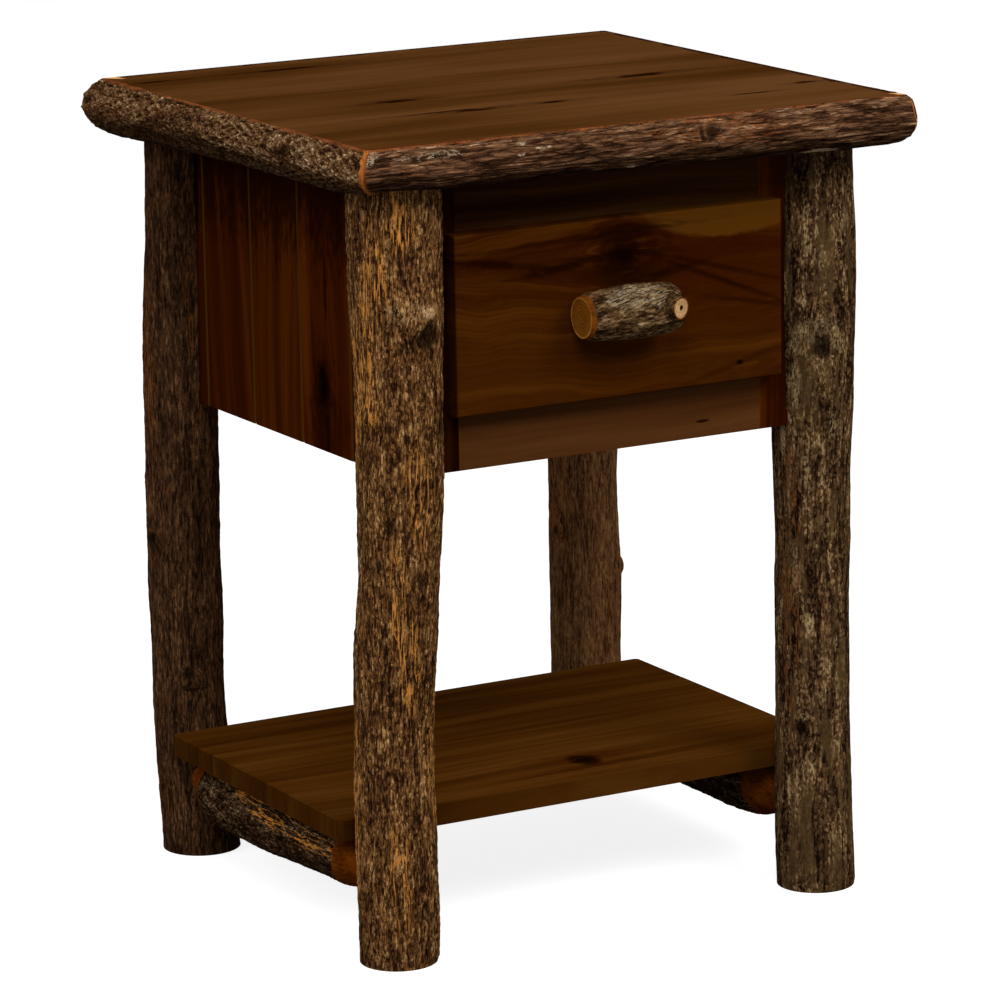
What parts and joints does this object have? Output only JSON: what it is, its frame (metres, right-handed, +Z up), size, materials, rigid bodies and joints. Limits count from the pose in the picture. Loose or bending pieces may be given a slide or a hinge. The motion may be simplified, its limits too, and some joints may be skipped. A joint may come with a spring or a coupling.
{
  "type": "rustic hickory nightstand table",
  "caption": "Nightstand table on bark-covered log legs, with a log-edged plank top, a case with a drawer on telescopic slides, and a low open shelf.",
  "frame": {"origin": "on the floor, under the centre of the top", "axes": "+Z up, +X to the right of someone facing the drawer, -Y towards that person (the drawer opens along -Y)"},
  "size_m": [0.5482, 0.5322, 0.7112],
  "materials": {
    "hickory_bark": "rough ridged bark under clear varnish, bare orange wood where cut",
    "top_hickory": "dark walnut stain, satin varnish",
    "shelf_hickory": "dark walnut stain, satin varnish",
    "case_hickory": "dark walnut stain, satin varnish",
    "drawer_hickory": "dark walnut stain, satin varnish",
    "drawer_box_maple": "clear satin varnish",
    "frame_softwood": "sawn, unfinished",
    "plywood": "sanded birch plywood, clear varnish",
    "dowel_beech": "unfinished",
    "slide_steel": "zinc plated",
    "screw_steel": "zinc plated"
  },
  "bodies": {
    "table": {"back_panel": "plywood", "back_rail": "frame_softwood", "case_screws": "screw_steel", "edging_dowels": "dowel_beech", "edging_front": "hickory_bark", "edging_left": "hickory_bark", "edging_rear": "hickory_bark", "edging_right": "hickory_bark", "leg_front_left": "hickory_bark", "leg_front_right": "hickory_bark", "leg_rear_left": "hickory_bark", "leg_rear_right": "hickory_bark", "rail_bottom": "case_hickory", "rail_top": "case_hickory", "shelf_board_1": "shelf_hickory", "shelf_board_2": "shelf_hickory", "shelf_board_3": "shelf_hickory", "shelf_board_4": "shelf_hickory", "shelf_screws": "screw_steel", "side_board_left_1": "case_hickory", "side_board_left_2": "case_hickory", "side_board_left_3": "case_hickory", "side_board_left_4": "case_hickory", "side_board_left_5": "case_hickory", "side_board_right_1": "case_hickory", "side_board_right_2": "case_hickory", "side_board_right_3": "case_hickory", "side_board_right_4": "case_hickory", "side_board_right_5": "case_hickory", "slide_block_left": "frame_softwood", "slide_block_right": "frame_softwood", "slide_case_left": "slide_steel", "slide_case_right": "slide_steel", "slide_case_screws": "screw_steel", "stile_left": "case_hickory", "stile_right": "case_hickory", "stretcher_left": "hickory_bark", "stretcher_right": "hickory_bark", "top_cleat_left": "frame_softwood", "top_cleat_right": "frame_softwood", "top_plank_1": "top_hickory", "top_plank_2": "top_hickory", "top_plank_3": "top_hickory", "top_plank_4": "top_hickory", "top_plank_5": "top_hickory"},
    "drawer": {"drawer_bottom": "plywood", "drawer_box_back": "drawer_box_maple", "drawer_box_front": "drawer_box_maple", "drawer_front": "drawer_hickory", "drawer_front_screws": "screw_steel", "drawer_pull": "hickory_bark", "drawer_side_left": "drawer_box_maple", "drawer_side_right": "drawer_box_maple", "pull_screws": "screw_steel", "slide_drawer_left": "slide_steel", "slide_drawer_right": "slide_steel", "slide_drawer_screws": "screw_steel"},
    "slide_middle_left": {"slide_middle_left": "slide_steel"},
    "slide_middle_right": {"slide_middle_right": "slide_steel"}
  },
  "joints": [
    {"name": "drawer_slide", "type": "slide", "parent": "table", "child": "drawer", "axis": [0, -1, 0], "range_m": [0, 0.34]},
    {"name": "slide_middle_left_slide", "type": "slide", "parent": "table", "child": "slide_middle_left", "axis": [0, -1, 0], "range_m": [0, 0.171]},
    {"name": "slide_middle_right_slide", "type": "slide", "parent": "table", "child": "slide_middle_right", "axis": [0, -1, 0], "range_m": [0, 0.171]}
  ],
  "couplings": [
    {"joint": "slide_middle_left_slide", "follows": "drawer_slide", "ratio": 0.5},
    {"joint": "slide_middle_right_slide", "follows": "drawer_slide", "ratio": 0.5}
  ]
}
